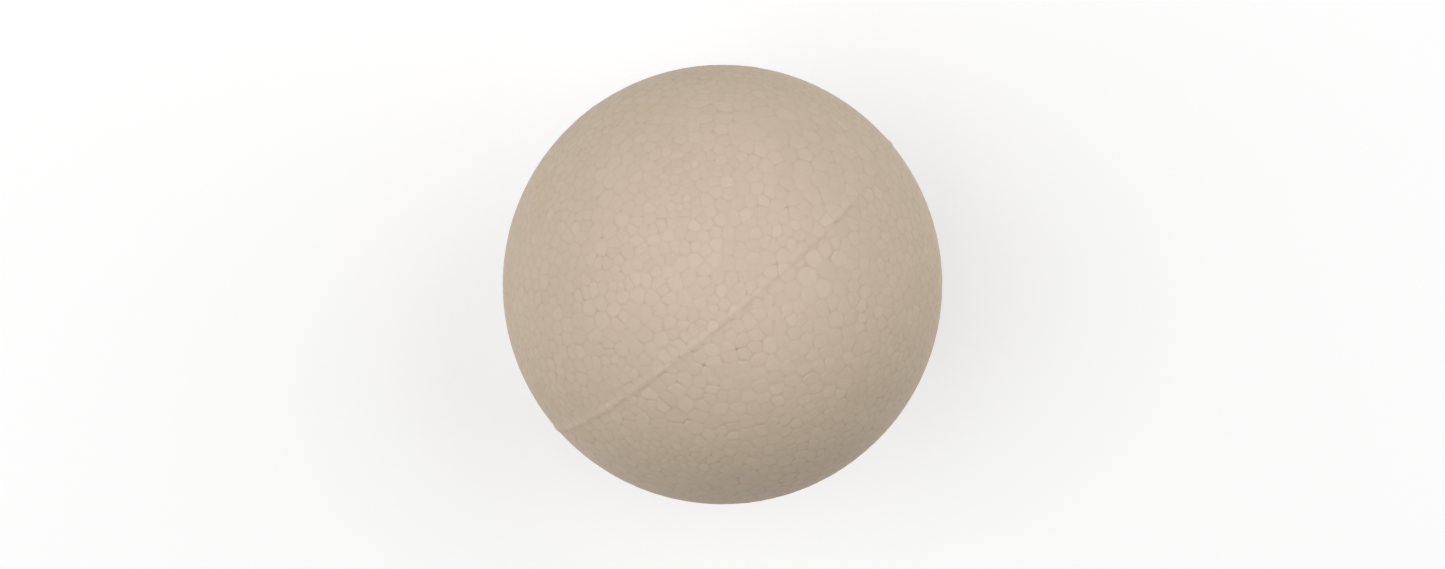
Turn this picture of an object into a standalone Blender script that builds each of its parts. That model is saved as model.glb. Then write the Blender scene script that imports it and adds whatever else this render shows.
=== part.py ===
"""A moulded polystyrene craft ball, 70 mm across: one solid piece of pale bead foam.

The foam is blown in a mould of two half-round cups, which draw apart along X. The
ball is the mould's cavity as it comes out: a true sphere about the origin, with the
fine raised line that the cups' joint leaves round the YZ plane, and the flat, sunk
disc of the filling gun's plunger at the +X pole. It has no core, hole or coating.

Metres, +Z up, origin at the middle of the ball.
"""

import math

import bmesh
import bpy
from mathutils import Matrix

MM = 0.001

# Driving dimensions
BALL_DIAMETER = 70.0 * MM
SEAM_WIDTH = 1.8 * MM
SEAM_HEIGHT = 0.18 * MM
MARK_DIAMETER = 14.5 * MM
MARK_DEPTH = 0.25 * MM
MARK_WALL_WIDTH = 0.9 * MM

# Fineness of the turned surface
TURN_STEPS = 72
ARC_STEP = math.radians(5.0)
SEAM_SEGMENTS = 8
MARK_WALL_SEGMENTS = 5
MARK_FLOOR_RINGS = 2

# Dry, matt bead foam: colour in linear light, roughness, and no metal in it
FOAM_COLOUR = (0.64, 0.52, 0.39, 1.0)
FOAM_ROUGHNESS = 0.85
FOAM_METALLIC = 0.0

BALL_RADIUS = BALL_DIAMETER / 2


def clear_scene():
    """Removes every object that the new file starts with."""
    for item in list(bpy.data.objects):
        bpy.data.objects.remove(item, do_unlink=True)


def new_collection(name):
    """Makes a collection in the scene."""
    collection = bpy.data.collections.new(name)
    bpy.context.scene.collection.children.link(collection)
    return collection


def bead_foam():
    """Makes the foam's material."""
    material = bpy.data.materials.new("bead_foam")
    material.use_nodes = True
    shader = material.node_tree.nodes["Principled BSDF"]
    shader.inputs["Base Color"].default_value = FOAM_COLOUR
    shader.inputs["Roughness"].default_value = FOAM_ROUGHNESS
    shader.inputs["Metallic"].default_value = FOAM_METALLIC
    material.diffuse_color = FOAM_COLOUR
    return material


def smooth_step(value):
    """Rises from 0 at 0 to 1 at 1 as three squares less two cubes, and is level beyond both ends."""
    value = min(max(value, 0.0), 1.0)
    return value * value * (3.0 - 2.0 * value)


def mark_angles():
    """Gives the angles from the mould's axis to the mark's rim and to the foot of its wall."""
    rim_angle = math.asin(MARK_DIAMETER / 2 / BALL_RADIUS)
    foot_angle = rim_angle - MARK_WALL_WIDTH / BALL_RADIUS
    return rim_angle, foot_angle


def surface_radius(angle):
    """Gives the distance from the ball's middle to its skin, at an angle from the mould's axis.

    It is the ball's radius, plus the seam, a raised cosine across the plane where the
    cups meet. Inside the plunger's mark it falls over the wall's width to the flat
    floor, whose distance is its height above the middle divided by the angle's cosine.
    """
    radius = BALL_RADIUS
    from_seam = abs(angle - math.pi / 2) * BALL_RADIUS
    if from_seam < SEAM_WIDTH / 2:
        radius += SEAM_HEIGHT * (1 + math.cos(2 * math.pi * from_seam / SEAM_WIDTH)) / 2

    rim_angle, foot_angle = mark_angles()
    if angle < rim_angle:
        floor_height = BALL_RADIUS * math.cos(rim_angle) - MARK_DEPTH
        floor_radius = floor_height / math.cos(angle)
        share = smooth_step((angle - foot_angle) / (rim_angle - foot_angle))
        radius = floor_radius + (radius - floor_radius) * share
    return radius


def span(start, end, segments):
    """Divides an angle evenly and leaves out its start, which the span before it ends on."""
    return [start + (end - start) * step / segments for step in range(1, segments + 1)]


def profile_angles():
    """Lists the profile's angles from the marked pole to the plain one, close together at each trace."""
    rim_angle, foot_angle = mark_angles()
    seam_half_angle = SEAM_WIDTH / 2 / BALL_RADIUS
    seam_start = math.pi / 2 - seam_half_angle
    seam_end = math.pi / 2 + seam_half_angle
    angles = [0.0]
    angles += span(0.0, foot_angle, MARK_FLOOR_RINGS)
    angles += span(foot_angle, rim_angle, MARK_WALL_SEGMENTS)
    angles += span(rim_angle, seam_start, math.ceil((seam_start - rim_angle) / ARC_STEP))
    angles += span(seam_start, seam_end, SEAM_SEGMENTS)
    angles += span(seam_end, math.pi, math.ceil((math.pi - seam_end) / ARC_STEP))
    return angles


def ball_profile():
    """Makes the mesh of half the ball's section, which runs down its outer side from pole to pole."""
    outline = bmesh.new()
    last = None
    angles = profile_angles()
    for angle in angles:
        radius = surface_radius(angle)
        on_axis = angle in (angles[0], angles[-1])
        across = 0.0 if on_axis else radius * math.sin(angle)
        point = outline.verts.new((across, 0.0, radius * math.cos(angle)))
        if last is not None:
            outline.edges.new((last, point))
        last = point
    mesh = bpy.data.meshes.new("ball")
    outline.to_mesh(mesh)
    outline.free()
    return mesh


def make_ball(collection, material):
    """Turns the section about Z and lays the mould's axis along X, with the plunger's mark at +X.

    Points nearer than a thousandth of the seam's width are joined, where the turn
    closes and at both poles.
    """
    ball = bpy.data.objects.new("ball", ball_profile())
    collection.objects.link(ball)
    ball.data.materials.append(material)
    ball.matrix_world = Matrix.Rotation(math.pi / 2, 4, "Y")
    turn = ball.modifiers.new("turn", "SCREW")
    turn.axis = "Z"
    turn.angle = 2 * math.pi
    turn.steps = TURN_STEPS
    turn.render_steps = TURN_STEPS
    turn.use_merge_vertices = True
    turn.merge_threshold = SEAM_WIDTH / 1000
    turn.use_smooth_shade = True
    return ball


clear_scene()
make_ball(new_collection("polystyrene_ball"), bead_foam())
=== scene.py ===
"""The looks of a moulded polystyrene craft ball: its skin of pressed beads, the light and the camera.

The skin is laid out bead by bead. Points spread over a sphere stand for the middles
of the beads, and each bead takes the ground that is nearer to its middle than to any
other. The mould has pressed the beads nearly flush; between them run fine joints,
with a small pit wherever three beads meet. Over this go the line that the mould's
two cups leave and the flat, sunk disc of the plunger that closed the filling hole.

Lengths are in metres and the origin is the middle of the ball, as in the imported
model. X is the axis along which the two cups draw apart.
"""

import bmesh
import bpy
import numpy as np
from mathutils import Matrix, Vector


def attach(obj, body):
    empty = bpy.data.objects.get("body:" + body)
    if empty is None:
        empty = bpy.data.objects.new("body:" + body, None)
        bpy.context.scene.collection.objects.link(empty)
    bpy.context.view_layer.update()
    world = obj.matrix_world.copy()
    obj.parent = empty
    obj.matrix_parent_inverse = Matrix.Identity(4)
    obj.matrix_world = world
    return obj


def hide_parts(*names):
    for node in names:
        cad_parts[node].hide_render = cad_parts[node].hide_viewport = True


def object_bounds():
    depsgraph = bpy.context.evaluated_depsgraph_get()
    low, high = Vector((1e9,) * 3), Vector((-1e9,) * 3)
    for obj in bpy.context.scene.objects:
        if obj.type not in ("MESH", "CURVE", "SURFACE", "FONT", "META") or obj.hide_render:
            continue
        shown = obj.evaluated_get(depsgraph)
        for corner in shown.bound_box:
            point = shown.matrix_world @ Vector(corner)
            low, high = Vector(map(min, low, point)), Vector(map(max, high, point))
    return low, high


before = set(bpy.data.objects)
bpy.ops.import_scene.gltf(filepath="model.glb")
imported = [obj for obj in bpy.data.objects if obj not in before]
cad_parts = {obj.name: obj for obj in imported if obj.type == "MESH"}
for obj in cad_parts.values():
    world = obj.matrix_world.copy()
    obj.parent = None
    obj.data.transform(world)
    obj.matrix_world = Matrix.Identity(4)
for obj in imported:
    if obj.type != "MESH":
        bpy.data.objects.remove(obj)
solid_low, solid_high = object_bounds()

MM = 0.001

# Taken from the frame: the plain pole is at -X, and the seam's crest is the highest point
BALL_RADIUS = -solid_low[0]
SEAM_HEIGHT = solid_high[2] - BALL_RADIUS
FLOOR_HEIGHT = solid_low[2]

# Traces of the mould
SEAM_WIDTH = 1.8 * MM
SEAM_UNEVENNESS = 0.4
# How many waves of unevenness run round the seam, and the angle at which each starts
SEAM_WAVES = ((7, 0.4), (17, 2.1), (41, 4.0))
MARK_RADIUS = 7.25 * MM
MARK_DEPTH = 0.25 * MM
MARK_WALL_WIDTH = 0.9 * MM
# The angles from the mould's axis to the mark's rim and to the foot of its wall, and its floor's X
MARK_RIM_ANGLE = np.arcsin(MARK_RADIUS / BALL_RADIUS)
MARK_FOOT_ANGLE = MARK_RIM_ANGLE - MARK_WALL_WIDTH / BALL_RADIUS
MARK_FLOOR = BALL_RADIUS * np.cos(MARK_RIM_ANGLE) - MARK_DEPTH

# Rounds of edges: how many go over the seam, and as many down the mark's wall. On the unit sphere, each
# is cut through the triangles within the reach, and a point within the nearness already lies on it.
EDGE_ROUNDS = 7
CUT_REACH = 0.06
CUT_NEARNESS = 1e-6

# Beads
BEAD_COUNT = 3600
SPREADING_ROUNDS = 6
BEAD_TILT = 0.011
BEAD_SINK = 0.006 * MM
# Share of the way from a bead's middle to its joint over which its face is flat
FACE_SHARE = 0.62
SHOULDER_LEAST_SHARE = 0.67
JOINT_HALF_WIDTH = 0.12 * MM
PIT_HALF_WIDTH = 0.28 * MM
# A joint shorter than this goes over into the pits at its ends, in width and depth
WHOLE_JOINT_LENGTH = 0.5 * MM
SHOULDER_DEPTH = 0.012 * MM
JOINT_DEPTH = 0.034 * MM
PIT_DEPTH = 0.068 * MM
# How much depths differ from one joint or pit to the next, and the least and most of the usual depth
JOINT_SPREAD, JOINT_RANGE = 0.35, (0.5, 1.9)
PIT_SPREAD, PIT_RANGE = 0.5, (0.5, 2.2)
TONE_LIMIT = 2.5
# By how much, on the unit sphere, a wrong neighbour must be nearer than the right one to be exchanged
NEARER_BY = 1e-9
# Share of the beads' relief that is left in the plunger's mark and on the seam
MARK_RELIEF = 0.6
SEAM_RELIEF = 0.5

# How dark the painted shade is in the hollows: along a joint, where three meet, and on a bead's shoulder
JOINT_PAINTED_SHADE = 0.7
PIT_PAINTED_SHADE = 1.0
SHOULDER_PAINTED_SHADE = 0.25

# Colours as a screen shows them, 0 to 255
PALE_BEAD = (215, 197, 175)
DARK_BEAD = (203, 184, 160)
# The colour of the painted shade in the joints, pits and shoulders
PAINTED_JOINT_SHADE = (178, 155, 129)
# Grains per metre of the soft noises: clouds over many beads, mottles within one, and the skin's ripple
CLOUD_GRAIN = 60
MOTTLE_GRAIN = 900
RIPPLE_GRAIN = 3500
# How far a bead's own tone and the two noises move its colour between the dark and the pale one
TONE_WEIGHT = 0.10
CLOUD_WEIGHT = 0.5
MOTTLE_WEIGHT = 0.5
# How far the painted shade moves the colour towards the painted shade's colour
PAINTED_SHADE_WEIGHT = 0.15
RIPPLE_STRENGTH = 0.3
RIPPLE_HEIGHT = 0.02 * MM
BEAD_ROUGHNESS = 0.6
JOINT_ROUGHNESS = 0.2
MOTTLE_ROUGHNESS = 0.15

# The view, with the photograph's direction and turn
VIEW_BACK = Vector((-0.1243, 0.0, 0.9922)).normalized()
VIEW_UP = Vector((-0.7538, 0.6503, -0.0944)).normalized()
VIEW_DISTANCE = 0.64
LENS_MM = 100

# Floor and background. What is seen of the floor near the ball is partly even white and partly lit, so
# that it keeps a light shadow. Further out it goes over into the background's white.
FLOOR_RADIUS = 3.0
FLOOR_SIDES = 96
FADE_START = 0.15
FADE_END = 0.45
WHITE = (1.0, 1.0, 1.0, 1.0)
NO_LIGHT = (0.0, 0.0, 0.0, 1.0)
BACKGROUND = (0.97, 0.97, 0.97, 1.0)
FLOOR_EVEN = (0.55, 0.55, 0.55, 1.0)
FLOOR_SHADED = (0.5, 0.5, 0.5, 1.0)
FLOOR_BOUNCE = (0.8, 0.8, 0.8, 1.0)

# Light. A softbox has its degrees round the view, from the view's right turning to its top, its degrees
# off the view's axis, and its watts.
SURROUND_STRENGTH = 0.04
LIGHT_DISTANCE = 1.0
LIGHT_SIZE = 1.1
SOFTBOXES = {"left_softbox": (180, 32, 8.6), "right_softbox": (20, 46, 6.9)}

chance = np.random.default_rng(seed=70)


def ramp(value):
    """Rises from 0 at 0 to 1 at 1 as three squares less two cubes, and is level beyond both ends."""
    value = np.clip(value, 0, 1)
    return value * value * (3 - 2 * value)


def between(first, second, share):
    """Goes from the first value at a share of 0 to the second at 1."""
    return first + (second - first) * share


def on_unit_sphere(points):
    """Moves each point along its ray from the origin to a distance of 1."""
    return points / np.linalg.norm(points, axis=-1, keepdims=True)


def hull_triangles(points):
    """Joins points on a sphere to their neighbours: the triangles of their hull, facing outwards."""
    cloud = bpy.data.meshes.new("bead_middles")
    cloud.vertices.add(len(points))
    cloud.vertices.foreach_set("co", points.astype(np.float32).ravel())
    cage = bmesh.new()
    cage.from_mesh(cloud)
    bmesh.ops.convex_hull(cage, input=cage.verts)
    cage.to_mesh(cloud)
    cage.free()
    corners = np.empty(len(cloud.loops), np.int32)
    cloud.loops.foreach_get("vertex_index", corners)
    bpy.data.meshes.remove(cloud)
    triangles = corners.reshape(-1, 3)
    a, b, c = (points[triangles[:, side]] for side in range(3))
    inwards = np.einsum("ij,ij->i", np.cross(b - a, c - a), a) < 0
    triangles[inwards] = triangles[inwards][:, ::-1]
    return triangles


def meeting_points(middles, triangles):
    """Where three neighbouring beads meet, as far from each middle: the upright on their triangle."""
    a, b, c = (middles[triangles[:, side]] for side in range(3))
    return on_unit_sphere(np.cross(b - a, c - a))


def spread_middles():
    """Spreads the bead middles: random at first, then moved a few times to the middle of their ground.

    That is the mean of the points where the bead meets two others. The few that start
    almost on top of another hold no ground and drop out.
    """
    middles = on_unit_sphere(chance.normal(size=(BEAD_COUNT, 3)))
    for _ in range(SPREADING_ROUNDS):
        triangles = hull_triangles(middles)
        meetings = meeting_points(middles, triangles)
        total = np.zeros_like(middles)
        for side in range(3):
            np.add.at(total, triangles[:, side], meetings)
        middles = on_unit_sphere(total[np.unique(triangles)])
    return middles


def sides_across(triangles):
    """For each side of each triangle, the number of the same side in the triangle across it.

    Side k of triangle t runs from its corner k to the next one and has the number
    3 t + k. Two triangles share a side where the one's start is the other's end.
    """
    start = triangles.ravel().astype(np.int64)
    end = np.roll(triangles, -1, axis=1).ravel().astype(np.int64)
    forth = start * (start.max() + 1) + end
    back = end * (start.max() + 1) + start
    order = np.argsort(forth)
    return order[np.searchsorted(forth, back, sorter=order)]


def with_nearest_neighbours(middles, triangles):
    """Exchanges the few sides that join the wrong two of four beads, since the hull rounds its points.

    A side is wrong where the far corner of the triangle across it is nearer to this
    triangle's meeting point than its own corners are. The side then joins the other
    two corners of the four.
    """
    while True:
        start = triangles.ravel()
        across = sides_across(triangles)
        far = np.roll(triangles, -2, axis=1).ravel()[across]
        meeting = np.repeat(meeting_points(middles, triangles), 3, axis=0)
        excess = np.einsum("ij,ij->i", meeting, middles[far] - middles[start])
        worst = int(np.argmax(excess))
        if excess[worst] < NEARER_BY:
            return triangles
        here, there = worst // 3, across[worst] // 3
        first, second, own = np.roll(triangles[here], -(worst % 3))
        triangles[here] = first, far[worst], own
        triangles[there] = far[worst], second, own


def shares_about_one(count, spread, limits):
    """Draws a share of the usual for each of a number of things: e to the spread times a normal draw."""
    return np.clip(np.exp(spread * chance.normal(size=count)), *limits)


def wedge_triangles(starts, bead, across, joint):
    """The eight triangles of each wedge, from the numbers at which the six kinds of point start.

    A wedge spans its bead's middle, two ends of the face's edge, two corners of the
    shoulder with its side's middle between them, and the joint's middle and two ends.
    Of each pair the left one is its own, and the right one is the next wedge's.
    """
    side = np.arange(len(bead))
    at_middle, at_face, at_corner, at_side, at_halfway, at_meeting = starts
    following = 3 * (across // 3) + (across + 1) % 3
    centre = at_middle + bead
    face_left, face_right = at_face + side, at_face + following
    corner_left, corner_right = at_corner + side, at_corner + following
    shoulder = at_side + side
    half = at_halfway + joint
    meet_left, meet_right = at_meeting + side // 3, at_meeting + across // 3
    wedge = [
        (centre, face_right, face_left),
        (face_right, corner_right, shoulder),
        (face_right, shoulder, face_left),
        (face_left, shoulder, corner_left),
        (corner_right, meet_right, half),
        (corner_right, half, shoulder),
        (shoulder, half, corner_left),
        (half, meet_left, corner_left),
    ]
    return np.stack([np.stack(corners, 1) for corners in wedge], 1).reshape(-1, 3)


def bead_skin():
    """Works out the skin on the unit sphere: its points, triangles, depths, tones and the painted shade of
    its joints.

    Each side of the net of middles gives one wedge of a bead: from the bead's middle
    out to the stretch of joint between two meeting points. Along the wedge lie the
    edge of the flat face, a rounded shoulder a set width short of the joint, and the
    joint itself. A point of a wedge is the middle plus a share of the way to the
    joint, put back on the sphere.
    """
    middles = spread_middles()
    triangles = with_nearest_neighbours(middles, hull_triangles(middles))
    meetings = meeting_points(middles, triangles)
    across = sides_across(triangles)
    side = np.arange(3 * len(triangles))
    left, right = side // 3, across // 3
    bead = triangles.ravel()
    middle, meeting = middles[bead], meetings[left]
    halfway = on_unit_sphere(meeting + meetings[right])
    length = np.linalg.norm(meeting - meetings[right], axis=1) * BALL_RADIUS
    parted = ramp(length / WHOLE_JOINT_LENGTH)

    def short_of(goal, width):
        """The point a width short of the goal on the way from the bead's middle."""
        way = goal - middle
        share = 1 - width / BALL_RADIUS / np.linalg.norm(way, axis=1)
        return on_unit_sphere(middle + np.maximum(share, SHOULDER_LEAST_SHARE)[:, None] * way)

    face_edge = on_unit_sphere(middle + FACE_SHARE * (meeting - middle))
    shoulder_corner = short_of(meeting, PIT_HALF_WIDTH)
    shoulder_side = short_of(halfway, between(PIT_HALF_WIDTH, JOINT_HALF_WIDTH, parted))

    sink = BEAD_SINK * (1 + np.abs(chance.normal(size=len(middles))))
    lean = BEAD_TILT * chance.normal(size=middles.shape)
    tone = np.clip(chance.normal(size=len(middles)), -TONE_LIMIT, TONE_LIMIT)
    fusion = shares_about_one(len(side), JOINT_SPREAD, JOINT_RANGE)
    pit = shares_about_one(len(meetings), PIT_SPREAD, PIT_RANGE)

    def tipped(points):
        """A bead's own sink, plus its lean times the way from its middle."""
        return sink[bead] + np.einsum("ij,ij->i", lean[bead], points - middle) * BALL_RADIUS

    end_pits = (pit[left] + pit[right]) / 2
    joint_depth = between(PIT_DEPTH * end_pits, JOINT_DEPTH * fusion, parted)
    # Painted shade in a joint follows its depth, and a short joint takes the darker shade of its pits
    joint_painted_shade = between(PIT_PAINTED_SHADE * end_pits, JOINT_PAINTED_SHADE * fusion, parted)
    # A joint belongs to two sides, and the one with the lower number gives its point
    owner, joint = np.unique(np.minimum(side, across), return_inverse=True)
    own_tone, plain = tone[bead], np.zeros(len(side))
    # The bead's shoulders, sloping down into the joints, take a light painted shade
    shaded = np.full(len(side), SHOULDER_PAINTED_SHADE)
    # Each kind of point: its place, its depth, its bead's tone and its painted shade in the hollows
    kinds = [
        (middles, sink, tone, np.zeros_like(sink)),
        (face_edge, tipped(face_edge), own_tone, plain),
        (shoulder_corner, tipped(shoulder_corner) + SHOULDER_DEPTH, own_tone, shaded),
        (shoulder_side, tipped(shoulder_side) + SHOULDER_DEPTH, own_tone, shaded),
        (halfway[owner], joint_depth[owner], plain[owner], joint_painted_shade[owner]),
        (meetings, PIT_DEPTH * pit, np.zeros_like(pit), PIT_PAINTED_SHADE * pit),
    ]
    points, depths, tones, joints = (np.concatenate(parts) for parts in zip(*kinds))
    starts = np.cumsum([0] + [len(kind[0]) for kind in kinds[:-1]])
    return points, wedge_triangles(starts, bead, across, joint), depths, tones, joints


def seam_share(directions):
    """The seam's raised cosine across the plane where the cups meet: 0 at its feet, 1 at its crest."""
    away = np.abs(np.arcsin(directions[:, 0])) * BALL_RADIUS
    return np.where(away < SEAM_WIDTH / 2, (1 + np.cos(2 * np.pi * away / SEAM_WIDTH)) / 2, 0)


def mark_share(directions):
    """How far a point is sunk in the plunger's mark: 0 outside its rim, 1 on its floor."""
    angle = np.arccos(np.clip(directions[:, 0], -1, 1))
    return 1 - ramp((angle - MARK_FOOT_ANGLE) / (MARK_RIM_ANGLE - MARK_FOOT_ANGLE))


def seam_height(directions):
    """The seam's height along its round: the full one, less a share that follows a mean of sines."""
    along = np.arctan2(directions[:, 2], directions[:, 1])
    waves = sum(np.sin(count * along + start) for count, start in SEAM_WAVES) / len(SEAM_WAVES)
    return SEAM_HEIGHT * (1 - SEAM_UNEVENNESS * (1 + waves) / 2)


def skin_radius(directions, depths):
    """Distance of the skin from the middle: the mould's surface there, less the depth between the beads.

    The mould's surface is the ball's radius plus the seam. In the plunger's mark it
    falls to the flat floor, whose distance is its height over the direction's X.
    """
    seam, mark = seam_share(directions), mark_share(directions)
    mould = BALL_RADIUS + seam_height(directions) * seam
    floor = MARK_FLOOR / np.where(mark > 0, directions[:, 0], 1)
    mould = mould + (floor - mould) * mark
    relief = 1 - (1 - SEAM_RELIEF) * seam - (1 - MARK_RELIEF) * mark
    return mould - depths * relief


def edge_levels():
    """The X of each round of edges on the unit sphere.

    They are the sines of even angles across the seam, and the cosines of even angles
    from the foot of the mark's wall to its rim.
    """
    seam_angles = np.linspace(-0.5, 0.5, EDGE_ROUNDS) * SEAM_WIDTH / BALL_RADIUS
    wall_angles = np.linspace(MARK_FOOT_ANGLE, MARK_RIM_ANGLE, EDGE_ROUNDS)
    return np.concatenate([np.sin(seam_angles), np.cos(wall_angles)])


def add_values(mesh, name, values):
    """Keeps one number for each point of the mesh under a name that the material reads."""
    attribute = mesh.attributes.new(name, "FLOAT", "POINT")
    attribute.data.foreach_set("value", values.astype(np.float32))


def values_of(mesh, name):
    """Reads back one number for each point of the mesh."""
    values = np.empty(len(mesh.vertices), np.float32)
    mesh.attributes[name].data.foreach_get("value", values)
    return values


def cut_edges(mesh):
    """Cuts the triangles that cross one of the edge rounds, and leaves only triangles."""
    skin = bmesh.new()
    skin.from_mesh(mesh)
    for level in edge_levels():
        near = [face for face in skin.faces if abs(face.verts[0].co.x - level) < CUT_REACH]
        parts = list(dict.fromkeys(part for face in near for part in (face, *face.edges, *face.verts)))
        place = (level, 0, 0)
        bmesh.ops.bisect_plane(skin, geom=parts, dist=CUT_NEARNESS, plane_co=place, plane_no=(1, 0, 0))
    bmesh.ops.triangulate(skin, faces=[face for face in skin.faces if len(face.verts) > 3])
    skin.to_mesh(mesh)
    skin.free()


def make_ball():
    """Makes the ball's skin, one closed mesh: each point is its direction times the skin's radius."""
    points, faces, depths, tones, joints = bead_skin()
    mesh = bpy.data.meshes.new("bead_skin")
    mesh.vertices.add(len(points))
    mesh.vertices.foreach_set("co", points.astype(np.float32).ravel())
    mesh.loops.add(faces.size)
    mesh.loops.foreach_set("vertex_index", faces.astype(np.int32).ravel())
    mesh.polygons.add(len(faces))
    mesh.polygons.foreach_set("loop_start", np.arange(0, faces.size, 3, dtype=np.int32))
    mesh.update(calc_edges=True)
    add_values(mesh, "depth", depths)
    add_values(mesh, "tone", tones)
    # The painted shade of the joints, pits and shoulders, which the material reads under joint
    add_values(mesh, "joint", joints)
    cut_edges(mesh)

    directions = np.empty(3 * len(mesh.vertices), np.float32)
    mesh.vertices.foreach_get("co", directions)
    directions = on_unit_sphere(directions.reshape(-1, 3).astype(float))
    radius = skin_radius(directions, values_of(mesh, "depth"))
    mesh.vertices.foreach_set("co", (directions * radius[:, None]).astype(np.float32).ravel())
    mesh.shade_smooth()
    mesh.update()
    ball = bpy.data.objects.new("moulded_ball", mesh)
    bpy.context.scene.collection.objects.link(ball)
    return ball


class Value:
    """One output of a node: a sum, difference or product with it adds a Math node."""

    def __init__(self, nodes, socket):
        self.nodes = nodes
        self.socket = socket

    def _math(self, operation, first, second):
        return self.nodes.add("ShaderNodeMath", {"operation": operation}, {0: first, 1: second})

    def __add__(self, other):
        return self._math("ADD", self, other)

    def __radd__(self, other):
        return self._math("ADD", other, self)

    def __sub__(self, other):
        return self._math("SUBTRACT", self, other)

    def __rsub__(self, other):
        return self._math("SUBTRACT", other, self)

    def __mul__(self, other):
        return self._math("MULTIPLY", self, other)

    def __rmul__(self, other):
        return self._math("MULTIPLY", other, self)

    def clamped(self):
        """Holds the value between 0 and 1."""
        return self.nodes.add("ShaderNodeClamp", {}, {"Value": self})


class Nodes:
    """The nodes of a material or of the world, each given back as the value of one of its outputs."""

    def __init__(self, owner):
        owner.use_nodes = True
        self.kept = owner.node_tree.nodes
        self.links = owner.node_tree.links

    def add(self, kind, settings, inputs, output=0):
        """Adds a node, sets its settings first, then gives its sockets their values or links."""
        node = self.kept.new(kind)
        for name, setting in settings.items():
            setattr(node, name, setting)
        for name, value in inputs.items():
            self.feed(node.inputs[name], value)
        return Value(self, node.outputs[output])

    def feed(self, socket, value):
        """Links a value to a socket, or writes a plain number or colour in it."""
        if isinstance(value, Value):
            self.links.new(value.socket, socket)
        else:
            socket.default_value = value

    def place(self):
        """The point's own coordinates on the object."""
        return self.add("ShaderNodeTexCoord", {}, {}, "Object")

    def noise(self, scale, detail):
        """Soft noise around 0.5 on the object's own coordinates; scale is its grain per metre."""
        grain = {"Vector": self.place(), "Scale": scale, "Detail": detail}
        return self.add("ShaderNodeTexNoise", {}, grain)

    def point_value(self, name):
        """The number kept for each point of the mesh under this name."""
        return self.add("ShaderNodeAttribute", {"attribute_name": name}, {}, "Fac")

    def mix(self, share, first, second):
        """Goes from the first colour at 0 to the second at 1. A Mix node's colours are 6, 7 and output 2."""
        return self.add("ShaderNodeMix", {"data_type": "RGBA"}, {0: share, 6: first, 7: second}, 2)

    def seen(self):
        """1 for what is seen plainly, mirrored or through glass, and 0 for light on its way to something."""
        directly, mirrored, through = (
            self.add("ShaderNodeLightPath", {}, {}, ray)
            for ray in ("Is Camera Ray", "Is Glossy Ray", "Is Transmission Ray")
        )
        return (directly + mirrored + through).clamped()


def linear(red, green, blue):
    """Turns a colour as a screen shows it, 0 to 255, into linear light."""
    screen = np.array([red, green, blue]) / 255
    light = np.where(screen <= 0.04045, screen / 12.92, ((screen + 0.055) / 1.055) ** 2.4)
    return (*light.tolist(), 1.0)


def bead_foam():
    """The foam: warm off-white beads of slightly unlike tone, duller in the joints between, with painted
    shade there.
    """
    foam = bpy.data.materials.new("bead_foam")
    nodes = Nodes(foam)
    tone, joint = nodes.point_value("tone"), nodes.point_value("joint")
    cloud = nodes.noise(CLOUD_GRAIN, 3)
    mottle = nodes.noise(MOTTLE_GRAIN, 2)
    ripple = nodes.noise(RIPPLE_GRAIN, 2)
    shade = 0.5 + TONE_WEIGHT * tone + CLOUD_WEIGHT * (cloud - 0.5) + MOTTLE_WEIGHT * (mottle - 0.5)
    bead = nodes.mix(shade.clamped(), linear(*DARK_BEAD), linear(*PALE_BEAD))
    # Painted shade: the joints, pits and shoulders go over towards the painted shade's colour
    colour = nodes.mix((PAINTED_SHADE_WEIGHT * joint).clamped(), bead, linear(*PAINTED_JOINT_SHADE))
    roughness = BEAD_ROUGHNESS + JOINT_ROUGHNESS * joint.clamped() + MOTTLE_ROUGHNESS * (mottle - 0.5)
    bump = {"Height": ripple, "Strength": RIPPLE_STRENGTH, "Distance": RIPPLE_HEIGHT}

    shader = nodes.kept["Principled BSDF"].inputs
    nodes.feed(shader["Base Color"], colour)
    nodes.feed(shader["Roughness"], roughness)
    nodes.feed(shader["Normal"], nodes.add("ShaderNodeBump", {}, bump))
    shader["Metallic"].default_value = 0.0
    shader["IOR"].default_value = 1.5
    shader["Specular IOR Level"].default_value = 0.35
    shader["Subsurface Weight"].default_value = 0.15
    shader["Subsurface Radius"].default_value = (1.0, 0.8, 0.6)
    shader["Subsurface Scale"].default_value = 1.0 * MM
    return foam


def pale_floor():
    """The floor's paint: nearly white to the eye, and plain pale grey to the light that it throws back."""
    paint = bpy.data.materials.new("pale_floor")
    nodes = Nodes(paint)
    seen = nodes.seen()
    distance = nodes.add("ShaderNodeVectorMath", {"operation": "LENGTH"}, {0: nodes.place()}, "Value")
    fade = {"Value": distance, "From Min": FADE_START, "From Max": FADE_END}
    far = nodes.add("ShaderNodeMapRange", {"interpolation_type": "SMOOTHSTEP"}, fade)
    lit = nodes.mix(far, FLOOR_SHADED, NO_LIGHT)
    even = nodes.mix(far, FLOOR_EVEN, BACKGROUND)

    shader = nodes.kept["Principled BSDF"].inputs
    nodes.feed(shader["Base Color"], nodes.mix(seen, FLOOR_BOUNCE, lit))
    nodes.feed(shader["Emission Color"], nodes.mix(seen, NO_LIGHT, even))
    shader["Emission Strength"].default_value = 1.0
    shader["Roughness"].default_value = 0.9
    shader["Specular IOR Level"].default_value = 0.0
    return paint


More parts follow.
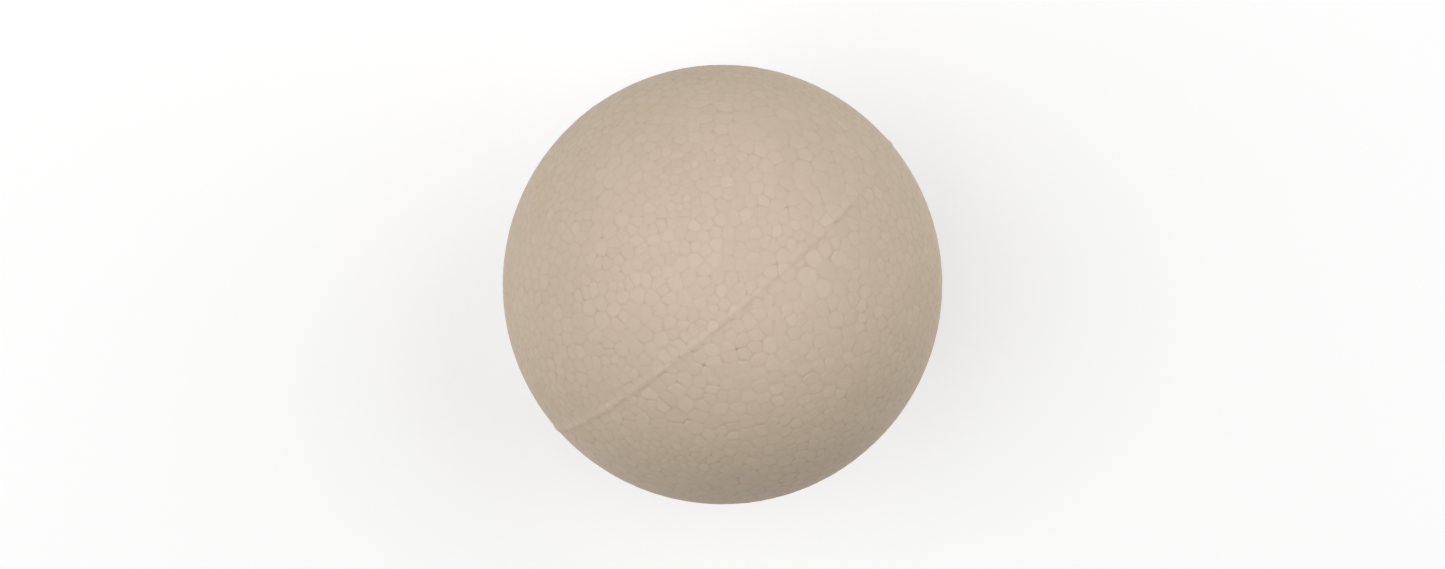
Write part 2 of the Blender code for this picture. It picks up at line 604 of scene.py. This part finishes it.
def make_floor():
    """A round, flat floor under the ball: its rim is the radius times the cosine and the sine."""
    angle = np.linspace(0, 2 * np.pi, FLOOR_SIDES, endpoint=False)
    across, along = FLOOR_RADIUS * np.cos(angle), FLOOR_RADIUS * np.sin(angle)
    points = np.stack([across, along, np.full(FLOOR_SIDES, FLOOR_HEIGHT)], 1)
    mesh = bpy.data.meshes.new("floor")
    mesh.from_pydata(points, [], [tuple(range(len(points)))])
    mesh.materials.append(pale_floor())
    floor = bpy.data.objects.new("floor", mesh)
    bpy.context.scene.collection.objects.link(floor)
    return floor


def turned(back, up):
    """The turn of a camera or lamp that looks against back, with up upwards in its picture."""
    right = up.cross(back).normalized()
    level = back.cross(right)
    return Matrix((right, level, back)).transposed().to_4x4()


def make_camera():
    """Makes the camera, which looks down on the ball as the photograph does."""
    camera = bpy.data.cameras.new("camera")
    camera.lens = LENS_MM
    camera.clip_start = 0.01
    view = bpy.data.objects.new("camera", camera)
    view.matrix_world = Matrix.Translation(VIEW_BACK * VIEW_DISTANCE) @ turned(VIEW_BACK, VIEW_UP)
    bpy.context.scene.collection.objects.link(view)
    bpy.context.scene.camera = view


def make_softboxes():
    """Wide lamps round the view: along its axis by the cosine of their angle off it, aside by the sine."""
    view_right = VIEW_UP.cross(VIEW_BACK)
    for name, (around, off_axis, watts) in SOFTBOXES.items():
        around, off_axis = np.radians(around), np.radians(off_axis)
        aside = view_right * np.cos(around) + VIEW_UP * np.sin(around)
        back = VIEW_BACK * np.cos(off_axis) + aside * np.sin(off_axis)
        lamp = bpy.data.lights.new(name, "AREA")
        lamp.size = LIGHT_SIZE
        lamp.energy = watts
        light = bpy.data.objects.new(name, lamp)
        light.matrix_world = Matrix.Translation(back * LIGHT_DISTANCE) @ turned(back, VIEW_UP)
        light.visible_camera = False
        bpy.context.scene.collection.objects.link(light)


def make_surround():
    """A faint light from all sides, and the nearly white background that is seen in its place."""
    world = bpy.data.worlds.new("surround")
    nodes = Nodes(world)
    faint = nodes.add("ShaderNodeBackground", {}, {"Color": WHITE, "Strength": SURROUND_STRENGTH})
    background = nodes.add("ShaderNodeBackground", {}, {"Color": BACKGROUND, "Strength": 1.0})
    both = nodes.add("ShaderNodeMixShader", {}, {0: nodes.seen(), 1: faint, 2: background})
    nodes.feed(nodes.kept["World Output"].inputs["Surface"], both)
    bpy.context.scene.world = world


ball = make_ball()
ball.data.materials.append(bead_foam())
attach(ball, "root")
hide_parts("ball")
make_floor()
make_camera()
make_softboxes()
make_surround()
bpy.context.scene.view_settings.view_transform = "Standard"
